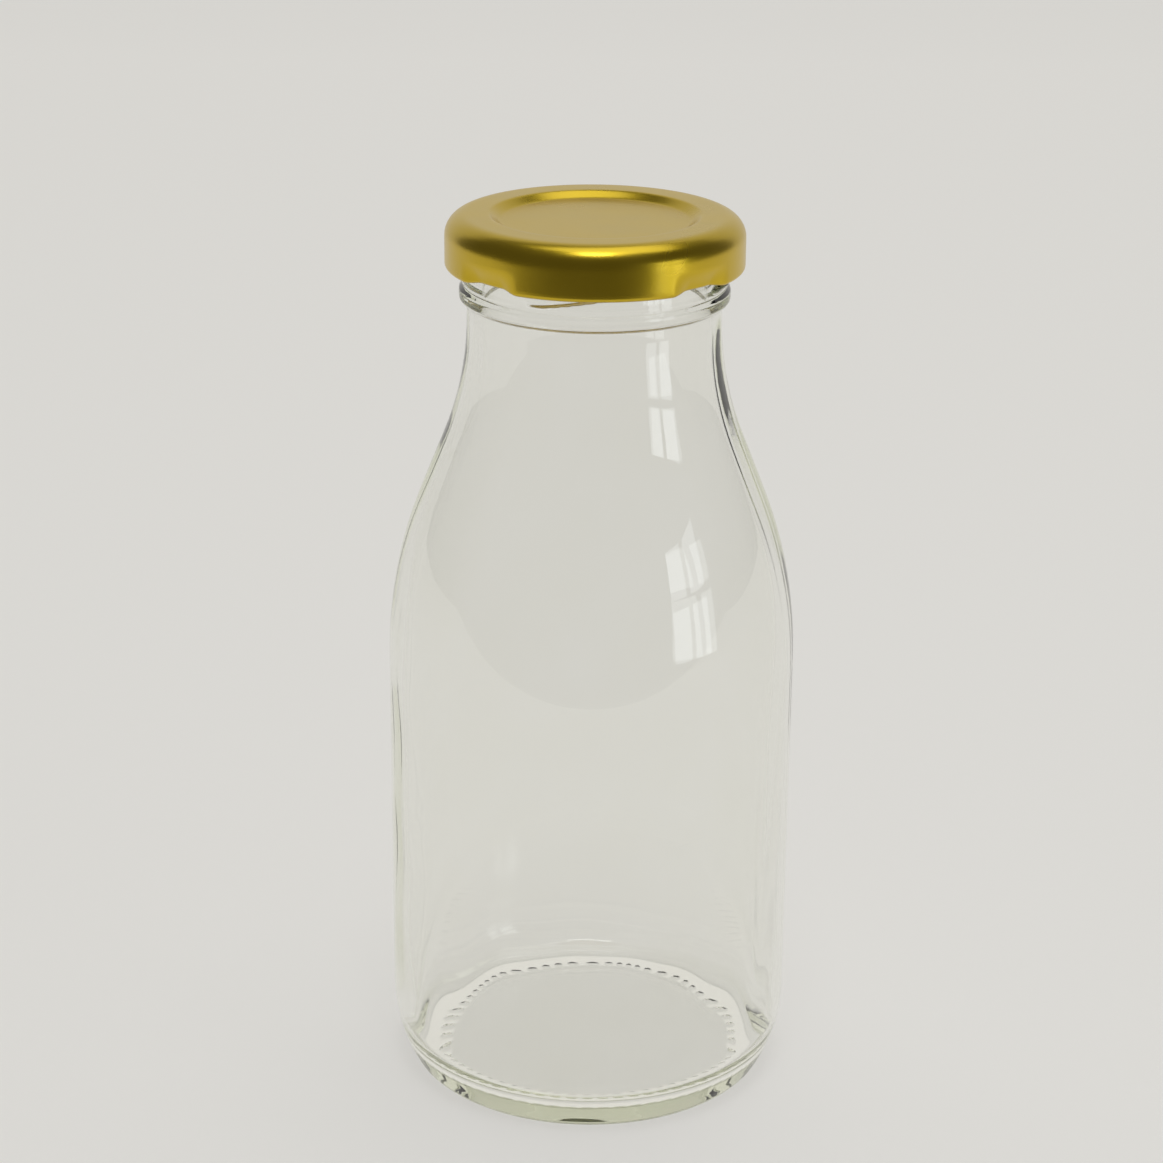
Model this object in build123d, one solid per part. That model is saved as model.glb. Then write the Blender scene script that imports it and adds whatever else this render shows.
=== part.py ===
"""Glass milk bottle with a gold twist-off lid: one blown glass body, one pressed lid shell and its sealing ring.

Millimetres, +Z up. The origin is the centre of the ring that the bottle stands on, with Z along the bottle's axis.
Outlines are drawn as (radius, height) pairs in the XZ plane and turned about Z.
"""

import math
import os

from build123d import *

# ---- bottle body ----
BODY_R = 31.5  # outside radius of the straight barrel
WALL = 2.4  # glass thickness of the barrel, shoulder and neck
SHOULDER_Z = 82.3  # where the barrel's line meets the shoulder's line
SHOULDER_FILLET = 72.0
NECK_R = 19.5  # where the shoulder's line meets the neck's line
NECK_Z = 112.2
NECK_FILLET = 50.0
NECK_TOP_R = 19.15  # just under the bead
NECK_TOP_Z = 124.8

# ---- base ----
RING_IN = 22.0  # inner edge of the flat ring that the bottle stands on
HEEL_FOOT_R = 28.1  # where the ring's plane meets the heel's sloping line
HEEL_TOP_Z = 7.1  # where the heel's sloping line meets the barrel
HEEL_FILLET = 2.4
BARREL_FILLET = 24.0
PUNT_Z = 1.45  # height of the shallow push-up inside the ring
FLOOR_CENTRE_Z = 4.8  # inside floor, slightly domed over the push-up
FLOOR_EDGE_R = 25.0
FLOOR_EDGE_Z = 3.0
FLOOR_FILLET = 5.5
KNURLS = 60  # small round dimples in the standing ring
KNURL_RING_R = 22.9
KNURL_R = 1.5
KNURL_DEPTH = 0.2

# ---- finish: the part of the neck that takes the lid ----
FINISH_R = 19.8
BORE_R = 16.6
BEAD_R = 20.35
BEAD_FOOT_Z = 125.1
BEAD_TOP_Z = 126.9
BEAD_BLEND_Z = 127.6
RIM_Z = 137.2
RIM_FILLET_OUT = 1.0
RIM_FILLET_IN = 1.2

# ---- threads: four starts, right-handed ----
STARTS = 4
LEAD = 20.0  # rise of one whole turn
THREAD_START_DEG = -30.0  # low end of the first thread, from the front (-Y), anticlockwise from above
THREAD_SWEEP_DEG = 102.0
THREAD_START_Z = 128.65
THREAD_OUT = 1.05  # how far a thread stands out of the finish
THREAD_HALF_H = 0.65
THREAD_ROOT_R = 19.3  # threads are rooted this deep in the wall
THREAD_FADE_DEG = 12.0
THREAD_SECTIONS = 21

# ---- lid shell ----
LID_R = 22.45
LID_TOP_Z = 138.0
SHEET = 0.2
SHOULDER_R = 3.2  # rounded edge between the lid's top and its skirt
PANEL_R = 14.2  # sunk centre panel
PANEL_STEP_R = 15.8
PANEL_DROP = 1.0
PANEL_FILLET = 1.0
SKIRT_SPLIT_Z = 133.4  # above this the shell is round; below it come the curl and the lugs
CURL_R = 0.65
CURL_Z = 130.7
CURL_END_DEG = 100.0  # the curl rolls from the outside, under, and back up to here
LUGS = 4
LUG_DEG = 45.0  # middle of the first lug
LUG_HALF_DEG = 6.0
LUG_RAMP_DEG = 9.0
LUG_PUSH = 0.9  # how far a lug is pressed in
LUG_ROLL_R = 0.55
LUG_Z = 131.05

# ---- sealing ring ----
SEAL_IN = 17.0
SEAL_EDGE_DEG = 58.0  # how far the ring runs down inside the lid's rounded edge
SEAL_LIP = 1.1  # thickness of that outer lip
SEAL_SIDE_R = 20.1  # clear of the rim's outside
SEAL_GAP = 0.02  # between the ring and both the shell and the glass

FRONT_DEG = -90.0  # the front of the bottle faces -Y


def turn(edges, start_deg=0.0, sweep_deg=360.0):
    """The solid that a closed (radius, height) outline sweeps about Z."""
    face = make_face(Plane.XZ * (Curve() + edges))
    return revolve(Rot(0, 0, start_deg) * face, Axis.Z, sweep_deg)


def offset_corner(before, corner, after, distance):
    """The corner of two lines that lie a distance to the left of the lines through corner."""
    normals = []
    for (r0, z0), (r1, z1) in ((before, corner), (corner, after)):
        length = math.hypot(r1 - r0, z1 - z0)
        normals.append((-(z1 - z0) / length, (r1 - r0) / length))
    (a_r, a_z), (b_r, b_z) = normals
    scale = distance / (1 + a_r * b_r + a_z * b_z)
    return corner[0] + scale * (a_r + b_r), corner[1] + scale * (a_z + b_z)


def shallow_arc(centre_z, edge_r, edge_z):
    """A dome from the axis to (edge_r, edge_z), level at the axis."""
    middle_z = centre_z + (edge_z - centre_z) / 4
    return ThreePointArc((0, centre_z), (edge_r / 2, middle_z), (edge_r, edge_z))


def bottle_outline():
    """The glass from the middle of its underside, up the outside, over the rim and down to the inside floor."""
    heel = (BODY_R, HEEL_TOP_Z)
    shoulder = (BODY_R, SHOULDER_Z)
    neck = (NECK_R, NECK_Z)
    neck_top = (NECK_TOP_R, NECK_TOP_Z)
    inner_shoulder = offset_corner(heel, shoulder, neck, WALL)
    inner_neck = offset_corner(shoulder, neck, neck_top, WALL)
    corners = [
        ((RING_IN, 0), None),
        ((HEEL_FOOT_R, 0), HEEL_FILLET),
        (heel, BARREL_FILLET),
        (shoulder, SHOULDER_FILLET),
        (neck, NECK_FILLET),
        (neck_top, 0.35),
        ((BEAD_R, BEAD_FOOT_Z), 0.9),
        ((BEAD_R, BEAD_TOP_Z), 0.8),
        ((FINISH_R, BEAD_BLEND_Z), 0.8),
        ((FINISH_R, RIM_Z), RIM_FILLET_OUT),
        ((BORE_R, RIM_Z), RIM_FILLET_IN),
        (inner_neck, NECK_FILLET),
        (inner_shoulder, SHOULDER_FILLET - WALL),
        ((BODY_R - WALL, FLOOR_EDGE_Z), FLOOR_FILLET),
        ((FLOOR_EDGE_R - FLOOR_FILLET, FLOOR_EDGE_Z + 0.4), None),
    ]
    points = [point for point, _ in corners]
    radii = [radius for _, radius in corners[1:-1]]
    wall = FilletPolyline(*points, radius=radii)
    underside = shallow_arc(PUNT_Z, *points[0])
    floor = shallow_arc(FLOOR_CENTRE_Z, *points[-1])
    return [underside, wall, floor, Line((0, FLOOR_CENTRE_Z), (0, PUNT_Z))]


def thread(start_deg):
    """One thread: a half-oval ridge that climbs the finish and fades out at both ends."""
    sections = []
    for i in range(THREAD_SECTIONS):
        along = i / (THREAD_SECTIONS - 1) * THREAD_SWEEP_DEG
        fade = min(1.0, along / THREAD_FADE_DEG, (THREAD_SWEEP_DEG - along) / THREAD_FADE_DEG)
        fade = math.sin(fade * math.pi / 2)
        out = FINISH_R + THREAD_OUT * (0.12 + 0.88 * fade)
        half = THREAD_HALF_H * (0.5 + 0.5 * fade)
        z = THREAD_START_Z + LEAD * along / 360
        crest = Spline(
            (THREAD_ROOT_R, z - half),
            (FINISH_R + 0.1, z - half),
            (out, z),
            (FINISH_R + 0.1, z + half),
            (THREAD_ROOT_R, z + half),
        )
        root = Line((THREAD_ROOT_R, z + half), (THREAD_ROOT_R, z - half))
        face = make_face(Plane.XZ * (Curve() + [crest, root]))
        sections.append(Rot(0, 0, start_deg + along) * face)
    return loft(sections)


def knurl_cutter(angle_deg):
    """A ball that leaves a dimple in the standing ring."""
    return Rot(0, 0, angle_deg) * Pos(KNURL_RING_R, 0, KNURL_DEPTH - KNURL_R) * Sphere(KNURL_R)


def glass_bottle():
    body = turn(bottle_outline())
    step = 360 / STARTS
    body += [thread(FRONT_DEG + THREAD_START_DEG + i * step) for i in range(STARTS)]
    body -= [knurl_cutter(i * 360 / KNURLS) for i in range(KNURLS)]
    return body


def lid_top():
    """The round part of the shell: sunk panel, raised rim, rounded edge and upper skirt."""

    def corners(inset):
        top = LID_TOP_Z - inset
        return (
            (0, top - PANEL_DROP),
            (PANEL_R, top - PANEL_DROP),
            (PANEL_STEP_R, top),
            (LID_R - inset, top),
            (LID_R - inset, SKIRT_SPLIT_Z),
        )

    outside = FilletPolyline(*corners(0), radius=[PANEL_FILLET + SHEET, PANEL_FILLET, SHOULDER_R])
    inside = FilletPolyline(
        *corners(SHEET), radius=[PANEL_FILLET, PANEL_FILLET + SHEET, SHOULDER_R - SHEET]
    )
    cut_edge = Line(corners(0)[-1], corners(SHEET)[-1])
    axis = Line(corners(0)[0], corners(SHEET)[0])
    return turn([outside, cut_edge, inside, axis])


def curl_face(press, angle_deg):
    """A slice of the lower skirt at one angle; press is 0 for the plain curl and 1 for a lug."""
    centre = (LID_R - CURL_R - press * LUG_PUSH, CURL_Z + press * (LUG_Z - CURL_Z))
    radius = CURL_R + press * (LUG_ROLL_R - CURL_R)
    outer = CenterArc(centre, radius, CURL_END_DEG, 360 - CURL_END_DEG)
    inner = CenterArc(centre, radius - SHEET, CURL_END_DEG, 360 - CURL_END_DEG)
    skirt = Line((LID_R, SKIRT_SPLIT_Z), outer @ 1)
    skirt_in = Line(inner @ 1, (LID_R - SHEET, SKIRT_SPLIT_Z))
    raw_edge = Line(outer @ 0, inner @ 0)
    top = Line((LID_R - SHEET, SKIRT_SPLIT_Z), (LID_R, SKIRT_SPLIT_Z))
    outline = Curve() + [skirt, outer, raw_edge, inner, skirt_in, top]
    return Rot(0, 0, angle_deg) * make_face(Plane.XZ * outline)


def lid_shell():
    """The shell: its round top, then the curled lower skirt with four lugs pressed into it."""
    pitch = 360 / LUGS
    full = LUG_HALF_DEG + LUG_RAMP_DEG
    plain = pitch - 2 * full
    pieces = [lid_top()]
    for i in range(LUGS):
        middle = FRONT_DEG + LUG_DEG + i * pitch
        pieces.append(revolve(curl_face(1, middle - LUG_HALF_DEG), Axis.Z, 2 * LUG_HALF_DEG))
        pieces.append(revolve(curl_face(0, middle + full), Axis.Z, plain))
        for side in (-1, 1):
            ramp = [curl_face(1, middle + side * LUG_HALF_DEG), curl_face(0, middle + side * full)]
            pieces.append(loft(ramp, ruled=True))
    return pieces[0].fuse(*pieces[1:])


def lid_seal():
    """The flowed-in ring: flat where the rim presses on it, with a lip inside the lid's rounded edge."""
    top = LID_TOP_Z - SHEET - SEAL_GAP
    bottom = RIM_Z + SEAL_GAP
    bend_r = SHOULDER_R - SHEET - SEAL_GAP
    bend = Plane((LID_R - SHOULDER_R, LID_TOP_Z - SHOULDER_R, 0))
    along_shell = bend * CenterArc((0, 0), bend_r, 90 - SEAL_EDGE_DEG, SEAL_EDGE_DEG)
    lip = along_shell @ 0
    outline = Curve() + [
        along_shell,
        FilletPolyline(
            along_shell @ 1,
            (SEAL_IN, top),
            (SEAL_IN, bottom),
            (SEAL_SIDE_R, bottom),
            (lip.X - SEAL_LIP, lip.Y),
            lip,
            radius=[0.15, 0.15, 0.3, 0.2],
        ),
    ]
    return turn(outline)


os.makedirs("parts", exist_ok=True)
PARTS = {"glass_bottle": glass_bottle, "lid_shell": lid_shell, "lid_seal": lid_seal}
for name, make in PARTS.items():
    export_step(make(), f"parts/{name}.step")
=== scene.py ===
"""Looks for the glass milk bottle: a turned glass body, its gold twist-off lid and the sealing ring."""

import math

import bmesh
import bpy
import numpy as np
from mathutils import Matrix, Vector


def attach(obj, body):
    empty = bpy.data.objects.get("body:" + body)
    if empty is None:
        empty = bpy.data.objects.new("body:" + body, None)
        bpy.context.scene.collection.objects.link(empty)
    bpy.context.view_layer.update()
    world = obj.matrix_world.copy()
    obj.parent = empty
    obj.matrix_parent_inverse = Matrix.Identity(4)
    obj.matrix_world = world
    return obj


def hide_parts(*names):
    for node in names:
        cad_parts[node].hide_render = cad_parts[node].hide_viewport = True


MM = 0.001

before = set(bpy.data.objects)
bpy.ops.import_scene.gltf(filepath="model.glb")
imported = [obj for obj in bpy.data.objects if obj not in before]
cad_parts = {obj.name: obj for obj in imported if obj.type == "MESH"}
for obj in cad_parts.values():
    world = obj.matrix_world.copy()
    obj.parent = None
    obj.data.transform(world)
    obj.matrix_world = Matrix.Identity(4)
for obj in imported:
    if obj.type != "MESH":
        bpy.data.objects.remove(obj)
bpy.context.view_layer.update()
scene = bpy.context.scene

# ---------------------------------------------------------------- outlines, in mm as (radius, height)


def rounded(corners, step=1.0, steps=None):
    """Points along straight runs joined by arcs.

    corners holds ((r, z), fillet radius). step, or steps for each run, is the spacing.
    """
    pts = [np.array(c, float) for c, _ in corners]
    steps = steps or [step] * (len(pts) - 1)
    out = [pts[0]]
    for i in range(1, len(pts)):
        here, before = pts[i], out[-1]
        radius = corners[i][1] if i < len(pts) - 1 else 0
        if radius:
            d0 = (before - here) / np.linalg.norm(before - here)
            d1 = (pts[i + 1] - here) / np.linalg.norm(pts[i + 1] - here)
            half = math.acos(np.clip(d0 @ d1, -1, 1)) / 2
            back = radius / math.tan(half)
            start, end = here + d0 * back, here + d1 * back
            centre = here + (d0 + d1) / np.linalg.norm(d0 + d1) * radius / math.sin(half)
            run_to(out, start, steps[i - 1])
            a0, a1 = start - centre, end - centre
            sweep = math.atan2(a0[0] * a1[1] - a0[1] * a1[0], a0 @ a1)
            n = max(3, math.ceil(abs(sweep) * radius / min(steps[i - 1], steps[i]) - 1e-6))
            for k in range(1, n + 1):
                t = sweep * k / n
                c, s = math.cos(t), math.sin(t)
                out.append(centre + np.array([a0[0] * c - a0[1] * s, a0[0] * s + a0[1] * c]))
        else:
            run_to(out, here, steps[i - 1])
    return np.array(out)


def run_to(out, end, step):
    """Adds points from the last one to end, about step apart."""
    start = out[-1]
    length = np.linalg.norm(end - start)
    n = max(1, round(length / step))
    if length > 1e-6:
        out.extend(start + (end - start) * k / n for k in range(1, n + 1))


def offset_corner(before, corner, after, distance):
    """Where two lines meet that lie a distance to the left of the lines through corner."""
    before, corner, after = (np.array(p, float) for p in (before, corner, after))
    n0, n1 = [np.array([-d[1], d[0]]) / np.linalg.norm(d) for d in (corner - before, after - corner)]
    return tuple(corner + distance * (n0 + n1) / (1 + n0 @ n1))


def smooth(x, low, high):
    t = np.clip((np.asarray(x, float) - low) / (high - low), 0, 1)
    return t * t * (3 - 2 * t)


# ---------------------------------------------------------------- meshes


def lathe(name, rings, closed_ring=False):
    """A mesh from rings of shape (rings, around, 3). A ring of zero radius becomes one point."""
    count, around, _ = rings.shape
    verts, index = [], []
    for ring in rings:
        if np.abs(ring[:, :2]).max() < 1e-9:
            index.append([len(verts)] * around)
            verts.append(ring[0])
        else:
            index.append(list(range(len(verts), len(verts) + around)))
            verts.extend(ring)
    faces = []
    last = count if closed_ring else count - 1
    for i in range(last):
        a, b = index[i], index[(i + 1) % count]
        for j in range(around):
            k = (j + 1) % around
            quad = (a[j], a[k], b[k], b[j])
            face = tuple(dict.fromkeys(quad))
            if len(face) > 2:
                faces.append(face)
    mesh = bpy.data.meshes.new(name)
    mesh.from_pydata([tuple(v) for v in np.array(verts) * MM], [], faces)
    mesh.polygons.foreach_set("use_smooth", [True] * len(faces))
    mesh.update()
    mesh.validate()
    obj = bpy.data.objects.new(name, mesh)
    scene.collection.objects.link(obj)
    return obj


def turned(profile, angles):
    """Rings of a plain turned profile."""
    r, z = profile[:, 0][:, None], profile[:, 1][:, None]
    one = np.ones_like(angles)[None, :]
    return np.stack([r * np.cos(angles), r * np.sin(angles), z * one], axis=2)


FRONT = math.radians(-90)

# ---------------------------------------------------------------- glass bottle

BODY_R, WALL = 31.5, 2.4
FINISH_R, BORE_R, RIM_Z = 19.8, 16.6, 137.2
AROUND = 360
KNURLS = 60
LEAD, STARTS = 20.0, 4
THREAD_START, THREAD_SWEEP, THREAD_FADE = -30.0, 102.0, 12.0
THREAD_Z, THREAD_OUT, THREAD_HALF = 128.65, 1.05, 0.65
KNURL_RING_R, KNURL_R, KNURL_DEPTH = 22.9, 0.75, 0.2
RING_IN, PUNT_Z = 22.0, 1.45
FLOOR_R, FLOOR_Z, FLOOR_RISE = 19.5, 3.4, 1.4

heel, shoulder, neck, neck_top = (BODY_R, 7.1), (BODY_R, 82.3), (19.5, 112.2), (19.15, 124.8)
inner_shoulder = offset_corner(heel, shoulder, neck, WALL)
inner_neck = offset_corner(shoulder, neck, neck_top, WALL)

outer = rounded(
    [
        ((RING_IN, 0), 0),
        ((28.1, 0), 2.4),
        (heel, 24.0),
        (shoulder, 72.0),
        (neck, 50.0),
        (neck_top, 0.35),
        ((20.35, 125.1), 0.9),
        ((20.35, 126.9), 0.8),
        ((FINISH_R, 127.6), 0.8),
        ((FINISH_R, RIM_Z), 1.0),
        ((18.2, RIM_Z), 0),
    ],
    steps=[0.3, 0.9, 3.2, 2.0, 1.6, 0.2, 0.3, 0.25, 0.28, 0.5],
)
inner = rounded(
    [
        ((18.2, RIM_Z), 0),
        ((BORE_R, RIM_Z), 1.2),
        (inner_neck, 50.0),
        (inner_shoulder, 69.6),
        ((BODY_R - WALL, 3.0), 5.5),
        ((FLOOR_R, FLOOR_Z), 0),
    ],
    steps=[0.4, 2.2, 2.2, 3.2, 1.0],
)
under = [(r, PUNT_Z - PUNT_Z * (r / RING_IN) ** 2) for r in (0, 2, 4, 7, 10, 13, 16, 18, 20, 21.2)]
floor_in = [(r, FLOOR_Z + FLOOR_RISE - FLOOR_RISE * (r / FLOOR_R) ** 2) for r in (18, 16, 13, 10, 7, 4, 2, 0)]
profile = np.vstack([under, outer, inner[1:], floor_in])
n_outer = len(under) + len(outer)

angles = FRONT + np.arange(AROUND) / AROUND * 2 * math.pi
rings = turned(profile, angles)
radius = np.repeat(profile[:, 0][:, None], AROUND, 1)
height = np.repeat(profile[:, 1][:, None], AROUND, 1)
is_outer = (np.arange(len(profile)) < n_outer)[:, None]

# Threads: four ridges that climb anticlockwise and fade out at both ends.
from_front = np.degrees(angles - FRONT)
for start in range(STARTS):
    along = (from_front - THREAD_START - 360 / STARTS * start) % 360
    inside = along <= THREAD_SWEEP
    fade = np.sin(np.clip(np.minimum(along, THREAD_SWEEP - along) / THREAD_FADE, 0, 1) * math.pi / 2)
    centre = THREAD_Z + LEAD * along / 360
    half = THREAD_HALF * (0.5 + 0.5 * fade) * 1.25
    t = np.clip(1 - ((height - centre) / half) ** 2, 0, 1)
    bump = THREAD_OUT * fade * t**0.75 * inside
    on_finish = is_outer & (height > 127.2) & (height < 136.2) & (radius > 19.0)
    radius += np.where(on_finish, bump, 0)

# Knurls: small round dimples in the standing ring.
pitch = 360 / KNURLS
to_dimple = np.radians((from_front + pitch / 2) % pitch - pitch / 2) * radius
far = np.hypot(to_dimple, radius - KNURL_RING_R)
on_ring = is_outer & (height < 0.01) & (radius < 24.0)
height += np.where(on_ring, KNURL_DEPTH * np.clip(1 - (far / KNURL_R) ** 2, 0, 1), 0)

# Blown glass is uneven: the inside of the wall is never true, and the outside only nearly.
a = angles[None, :]
h = height
ripple = (
    0.055 * np.sin(3 * a + 0.9 + h * 0.02)
    + 0.035 * np.sin(5 * a + 2.1 - h * 0.035)
    + 0.03 * np.sin(9 * a + 0.4 + h * 0.03)
    + 0.016 * np.sin(17 * a + 1.3 - h * 0.05)
    + 0.05 * np.sin(h * 0.11 + 2 * np.sin(a))
    + 0.02 * np.sin(h * 0.31 + 1.7 * np.sin(2 * a + 0.5))
)
wall_zone = smooth(height, 4, 16) * (1 - smooth(height, 118, 128))
radius += np.where(is_outer, -np.abs(ripple) * 0.12, ripple * 2.0) * wall_zone

# The faint line left by the two halves of the mould.
side = np.degrees(np.angle(np.exp(1j * (angles - FRONT - math.radians(78)))))
opposite = np.degrees(np.angle(np.exp(1j * (angles - FRONT - math.radians(258)))))
seam = np.exp(-((side / 0.7) ** 2)) + np.exp(-((opposite / 0.7) ** 2))
seam_zone = smooth(height, 3, 8) * (1 - smooth(height, 120, 123))
radius -= np.where(is_outer, 0.05 * (1 - seam) * seam_zone, 0)

rings[:, :, 0] = radius * np.cos(a)
rings[:, :, 1] = radius * np.sin(a)
rings[:, :, 2] = height
bottle = lathe("glass_bottle_body", rings)

# ---------------------------------------------------------------- lid shell

LID_R, LID_TOP, SHEET, SHOULDER = 22.45, 138.0, 0.2, 3.2
CURL_R, CURL_Z, LUG_R, LUG_Z, LUG_PUSH = 0.65, 130.7, 0.55, 131.05, 0.9
PANEL_R, PANEL_STEP_R, PANEL_DROP = 14.2, 15.8, 1.0
LID_AROUND = 360
BEND_Z = 133.4
CURL_END = 100.0

lid_angles = FRONT + np.arange(LID_AROUND) / LID_AROUND * 2 * math.pi
lug_off = np.abs(np.degrees(lid_angles - FRONT) % 90 - 45)
press = 1 - smooth(lug_off, 5.5, 15.0)


def lid_side(inset):
    """One face of the sheet, ring by ring from the centre of the panel to the raw edge inside the curl."""
    top = LID_TOP - inset
    panel = rounded(
        [
            ((0, top - PANEL_DROP), 0),
            ((PANEL_R, top - PANEL_DROP), 1.0 + SHEET - inset),
            ((PANEL_STEP_R, top), 1.0 + inset),
            ((LID_R - inset, top), SHOULDER - inset),
            ((LID_R - inset, BEND_Z), 0),
        ],
        steps=[1.6, 0.3, 0.5, 0.5],
    )
    rows = [np.tile([r, z], (LID_AROUND, 1)) for r, z in panel]
    centre_r = LID_R - CURL_R - press * LUG_PUSH
    centre_z = CURL_Z + press * (LUG_Z - CURL_Z)
    roll = CURL_R + press * (LUG_R - CURL_R) - inset
    for t in (0.2, 0.4, 0.6, 0.8):
        ease = t + press * (t * t * (3 - 2 * t) - t) * 0.5
        r = (LID_R - inset) * (1 - ease) + (centre_r + roll) * ease
        rows.append(np.stack([r, BEND_Z * (1 - t) + centre_z * t], 1))
    for deg in np.linspace(0, -(360 - CURL_END), 22):
        c, s = math.cos(math.radians(deg)), math.sin(math.radians(deg))
        rows.append(np.stack([centre_r + roll * c, centre_z + roll * s], 1))
    return rows


def from_rows(rows, ring_angles):
    rz = np.array(rows)
    return np.stack(
        [rz[:, :, 0] * np.cos(ring_angles), rz[:, :, 0] * np.sin(ring_angles), rz[:, :, 1]], axis=2
    )


shell_rows = lid_side(0)[::-1] + lid_side(SHEET)
shell_rings = from_rows(shell_rows[::-1], lid_angles)
shell = lathe("lid_shell_pressing", shell_rings, closed_ring=True)

# ---------------------------------------------------------------- sealing ring

SEAL_IN, SEAL_SIDE_R, SEAL_LIP, SEAL_GAP = 17.0, 20.1, 1.1, 0.02
SEAL_TOP, SEAL_BOTTOM = LID_TOP - SHEET - SEAL_GAP, RIM_Z + SEAL_GAP
SEAL_AROUND = 192

bend_r = SHOULDER - SHEET - SEAL_GAP
bend_c = np.array([LID_R - SHOULDER, LID_TOP - SHOULDER])
lip_angle = math.radians(90 - 58)
arc_at = np.linspace(lip_angle, math.pi / 2, 9)
arc = [bend_c + bend_r * np.array([math.cos(t), math.sin(t)]) for t in arc_at]
lip = arc[0]
seal_bottom = rounded(
    [
        ((SEAL_IN + 0.2, SEAL_TOP), 0),
        ((SEAL_IN, SEAL_TOP), 0.15),
        ((SEAL_IN, SEAL_BOTTOM), 0.15),
        ((SEAL_SIDE_R, SEAL_BOTTOM), 0.3),
        ((lip[0] - SEAL_LIP, lip[1]), 0.2),
        (tuple(lip), 0),
    ],
    step=0.35,
)
seal_profile = np.vstack([arc, seal_bottom[:-1]])
seal_angles = FRONT + np.arange(SEAL_AROUND) / SEAL_AROUND * 2 * math.pi
seal = lathe("sealing_ring", turned(seal_profile, seal_angles), closed_ring=True)


def face_out(obj):
    """Turns every face outwards."""
    bm = bmesh.new()
    bm.from_mesh(obj.data)
    bmesh.ops.recalc_face_normals(bm, faces=bm.faces)
    volume = bm.calc_volume(signed=True)
    if volume < 0:
        bmesh.ops.reverse_faces(bm, faces=bm.faces)
    bm.to_mesh(obj.data)
    bm.free()
    return abs(volume) * 1e9


for piece in (bottle, shell, seal):
    print("PIECE", piece.name, "mm3", round(face_out(piece), 1), "faces", len(piece.data.polygons))

# ---------------------------------------------------------------- materials


def material(name):
    m = bpy.data.materials.new(name)
    m.use_nodes = True
    m.node_tree.nodes.clear()
    return m, m.node_tree.nodes, m.node_tree.links


def add(nodes, kind, **values):
    node = nodes.new(kind)
    for key, value in values.items():
        if key in node.inputs:
            node.inputs[key].default_value = value
        else:
            setattr(node, key, value)
    return node


def ramp(nodes, stops):
    node = nodes.new("ShaderNodeValToRGB")
    elements = node.color_ramp.elements
    while len(elements) > 1:
        elements.remove(elements[-1])
    elements[0].position, elements[0].color = stops[0][0], (*stops[0][1], 1)
    for position, colour in stops[1:]:
        e = elements.new(position)
        e.color = (*colour, 1)
    return node


def glass():
    m, nodes, links = material("clear_glass")
    out = add(nodes, "ShaderNodeOutputMaterial")
    p = add(nodes, "ShaderNodeBsdfPrincipled")
    p.inputs["Roughness"].default_value = 0.0
    p.inputs["IOR"].default_value = 1.52
    p.inputs["Transmission Weight"].default_value = 1.0
    coord = add(nodes, "ShaderNodeTexCoord")
    noise = add(nodes, "ShaderNodeTexNoise")
    noise.inputs["Scale"].default_value = 55.0
    noise.inputs["Detail"].default_value = 2.0
    links.new(coord.outputs["Object"], noise.inputs["Vector"])
    tint = ramp(nodes, [(0.3, (0.98, 0.98, 0.965)), (0.7, (0.99, 0.99, 0.985))])
    links.new(noise.outputs["Fac"], tint.inputs[0])
    links.new(tint.outputs["Color"], p.inputs["Base Color"])
    bump = add(nodes, "ShaderNodeBump")
    bump.inputs["Strength"].default_value = 0.05
    bump.inputs["Distance"].default_value = 0.001
    links.new(noise.outputs["Fac"], bump.inputs["Height"])
    links.new(bump.outputs["Normal"], p.inputs["Normal"])
    volume = add(nodes, "ShaderNodeVolumeAbsorption")
    volume.inputs["Color"].default_value = (0.66, 0.7, 0.4, 1)
    volume.inputs["Density"].default_value = 14.0
    links.new(volume.outputs[0], out.inputs["Volume"])
    links.new(p.outputs[0], out.inputs["Surface"])
    return m


def gold():
    m, nodes, links = material("gold_lacquer")
    out = add(nodes, "ShaderNodeOutputMaterial")
    p = add(nodes, "ShaderNodeBsdfPrincipled")
    p.inputs["Metallic"].default_value = 1.0
    p.inputs["Coat Weight"].default_value = 0.15
    p.inputs["Coat Roughness"].default_value = 0.14
    p.inputs["Coat IOR"].default_value = 1.5
    coord = add(nodes, "ShaderNodeTexCoord")
    cloud = add(nodes, "ShaderNodeTexNoise")
    cloud.inputs["Scale"].default_value = 140.0
    cloud.inputs["Detail"].default_value = 0.5
    links.new(coord.outputs["Object"], cloud.inputs["Vector"])
    tint = ramp(nodes, [(0.3, (0.61, 0.43, 0.025)), (0.7, (0.65, 0.46, 0.032))])
    links.new(cloud.outputs["Fac"], tint.inputs[0])
    links.new(tint.outputs["Color"], p.inputs["Base Color"])
    fine = add(nodes, "ShaderNodeTexNoise")
    fine.inputs["Scale"].default_value = 2600.0
    fine.inputs["Detail"].default_value = 2.0
    links.new(coord.outputs["Object"], fine.inputs["Vector"])
    rough = add(nodes, "ShaderNodeMapRange")
    rough.inputs["To Min"].default_value = 0.25
    rough.inputs["To Max"].default_value = 0.33
    links.new(cloud.outputs["Fac"], rough.inputs["Value"])
    links.new(rough.outputs[0], p.inputs["Roughness"])
    bump = add(nodes, "ShaderNodeBump")
    bump.inputs["Strength"].default_value = 0.12
    bump.inputs["Distance"].default_value = 0.00005
    links.new(fine.outputs["Fac"], bump.inputs["Height"])
    links.new(bump.outputs["Normal"], p.inputs["Normal"])
    links.new(p.outputs[0], out.inputs["Surface"])
    return m


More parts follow.
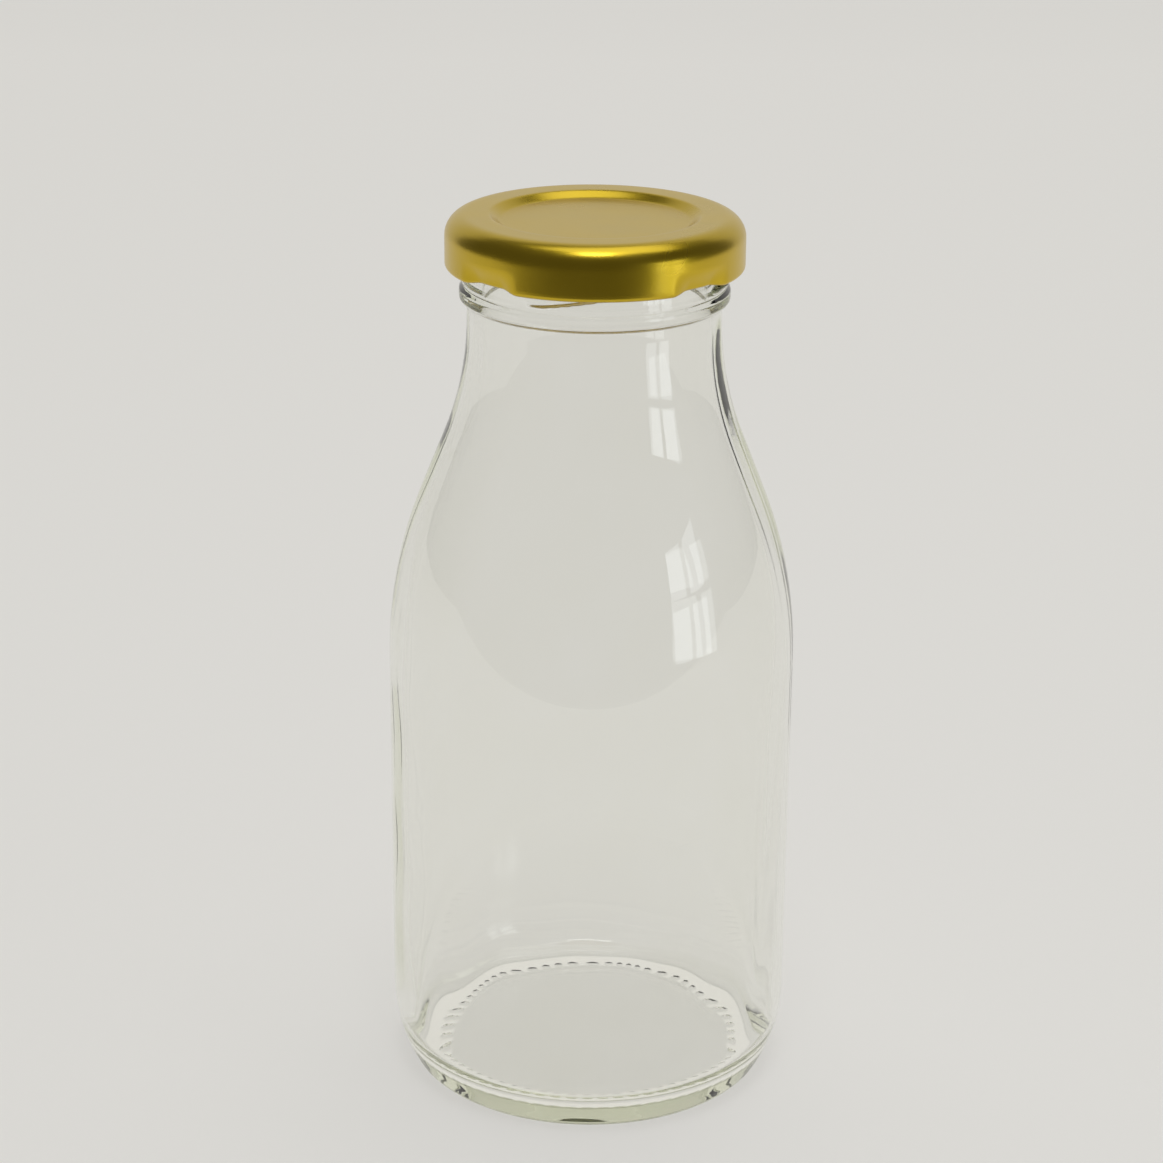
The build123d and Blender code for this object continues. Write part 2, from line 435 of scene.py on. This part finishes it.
def compound():
    m, nodes, links = material("sealing_compound")
    out = add(nodes, "ShaderNodeOutputMaterial")
    p = add(nodes, "ShaderNodeBsdfPrincipled")
    p.inputs["Roughness"].default_value = 0.55
    coord = add(nodes, "ShaderNodeTexCoord")
    noise = add(nodes, "ShaderNodeTexNoise")
    noise.inputs["Scale"].default_value = 320.0
    noise.inputs["Detail"].default_value = 3.0
    links.new(coord.outputs["Object"], noise.inputs["Vector"])
    tint = ramp(nodes, [(0.3, (0.70, 0.67, 0.58)), (0.7, (0.77, 0.745, 0.66))])
    links.new(noise.outputs["Fac"], tint.inputs[0])
    links.new(tint.outputs["Color"], p.inputs["Base Color"])
    bump = add(nodes, "ShaderNodeBump")
    bump.inputs["Strength"].default_value = 0.2
    bump.inputs["Distance"].default_value = 0.0001
    links.new(noise.outputs["Fac"], bump.inputs["Height"])
    links.new(bump.outputs["Normal"], p.inputs["Normal"])
    links.new(p.outputs[0], out.inputs["Surface"])
    return m


bottle.data.materials.append(glass())
shell.data.materials.append(gold())
seal.data.materials.append(compound())

# ---------------------------------------------------------------- pieces on their bodies

for piece, body, node, slot in (
    (bottle, "bottle", "glass_bottle", "clear_glass"),
    (shell, "lid", "lid_shell", "gold_tinplate"),
    (seal, "lid_lining", "lid_seal", "sealing_compound"),
):
    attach(piece, body)
    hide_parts(node)

# ---------------------------------------------------------------- studio


# The paper glows a little, evenly, so that it stays pale as far as it is seen.
PAPER = (0.6, 0.59, 0.565)
ROOM = (0.1, 0.097, 0.09)


def pale_floor():
    """A sheet of pale paper under the bottle that curves up into a backdrop behind it."""
    curve = [math.radians(5 * k) for k in range(19)]
    bend = [(0.9 + 0.3 * math.sin(t), 0.3 - 0.3 * math.cos(t)) for t in curve]
    side_view = [(-0.25, 0.0)] + bend + [(1.2, 1.6)]
    verts = [(x, y, z) for y, z in side_view for x in (-1.6, 1.6)]
    faces = [(2 * i, 2 * i + 1, 2 * i + 3, 2 * i + 2) for i in range(len(side_view) - 1)]
    mesh = bpy.data.meshes.new("studio_floor")
    mesh.from_pydata(verts, [], faces)
    mesh.polygons.foreach_set("use_smooth", [True] * len(faces))
    obj = bpy.data.objects.new("studio_floor", mesh)
    scene.collection.objects.link(obj)
    m, nodes, links = material("studio_paper")
    out = add(nodes, "ShaderNodeOutputMaterial")
    p = add(nodes, "ShaderNodeBsdfPrincipled")
    p.inputs["Base Color"].default_value = (0.36, 0.355, 0.34, 1)
    p.inputs["Roughness"].default_value = 0.9
    p.inputs["Specular IOR Level"].default_value = 0.0
    p.inputs["Emission Color"].default_value = (*PAPER, 1)
    p.inputs["Emission Strength"].default_value = 0.88
    links.new(p.outputs[0], out.inputs["Surface"])
    mesh.materials.append(m)
    return obj


pale_floor()


def panel_light(name, place, target, size, power, colour=(1, 1, 1)):
    """A soft panel that faces target. It lights and is reflected, but isn't itself in view."""
    data = bpy.data.lights.new(name, "AREA")
    data.shape = "RECTANGLE"
    data.size, data.size_y = size
    data.energy = power
    data.color = colour
    obj = bpy.data.objects.new(name, data)
    obj.location = place
    obj.rotation_euler = (Vector(target) - Vector(place)).to_track_quat("-Z", "Y").to_euler()
    obj.visible_camera = False
    scene.collection.objects.link(obj)
    return obj


# A window of four panes at the front right, a ceiling strip to the front and a broad soft panel overhead.
WINDOW_AZIMUTH, WINDOW_AWAY = math.radians(57), 0.45
WINDOW_PANES = [(-0.05, 0.06), (0.05, 0.06), (-0.05, 0.18), (0.05, 0.18)]
LID_HEIGHT = 0.13

azimuth = WINDOW_AZIMUTH
away = Vector((math.sin(azimuth), -math.cos(azimuth), 0)) * WINDOW_AWAY
across = Vector((math.cos(azimuth), math.sin(azimuth), 0))
for k, (x, z) in enumerate(WINDOW_PANES):
    place = away + across * x + Vector((0, 0, z))
    panel_light(f"window_{k}", place, (0, 0, z), (0.08, 0.1), 0.05, (0.9, 0.95, 1.0))
panel_light("ceiling", (0.0, -0.34, 1.18), (0, 0, LID_HEIGHT), (0.3, 0.3), 1.6, (0.95, 0.97, 1.0))
panel_light("soft_top", (0.14, 0.1, 1.2), (0, 0, LID_HEIGHT), (0.9, 0.9), 3.2)

# The surround: plain paper where it is seen, a dimmer plain room where it only lights and is mirrored.
world = bpy.data.worlds.new("studio")
scene.world = world
world.use_nodes = True
nodes, links = world.node_tree.nodes, world.node_tree.links
nodes.clear()
out = add(nodes, "ShaderNodeOutputWorld")
room = add(nodes, "ShaderNodeBackground")
path = add(nodes, "ShaderNodeLightPath")
seen = add(nodes, "ShaderNodeMath", operation="MAXIMUM")
links.new(path.outputs["Is Camera Ray"], seen.inputs[0])
links.new(path.outputs["Is Transmission Ray"], seen.inputs[1])
surround = ramp(nodes, [(0.0, ROOM), (1.0, PAPER)])
links.new(seen.outputs[0], surround.inputs[0])
links.new(surround.outputs["Color"], room.inputs["Color"])
links.new(room.outputs[0], out.inputs["Surface"])

# Light takes many turns inside thick glass before it leaves.
scene.cycles.max_bounces = 32
scene.cycles.glossy_bounces = 24
scene.cycles.transmission_bounces = 24

scene.view_settings.view_transform = "Standard"
scene.view_settings.look = "None"

# ---------------------------------------------------------------- camera

PITCH, ROLL = math.radians(19.13), math.radians(0.55)
CAMERA_PLACE = (0, -0.4223, 0.23575)
LENS, SENSOR = 89.92, 36.0
SHIFT_X, SHIFT_Y = -0.0095, -0.05

right = Vector((1, 0, 0))
up = Vector((0, math.sin(PITCH), math.cos(PITCH)))
ahead = Vector((0, math.cos(PITCH), -math.sin(PITCH)))
cam_right = right * math.cos(ROLL) + up * math.sin(ROLL)
cam_up = up * math.cos(ROLL) - right * math.sin(ROLL)
data = bpy.data.cameras.new("camera")
data.lens = LENS
data.sensor_width = SENSOR
data.shift_x, data.shift_y = SHIFT_X, SHIFT_Y
camera = bpy.data.objects.new("camera", data)
scene.collection.objects.link(camera)
turn = Matrix((cam_right, cam_up, -ahead)).transposed()
camera.matrix_world = Matrix.Translation(CAMERA_PLACE) @ turn.to_4x4()
scene.camera = camera
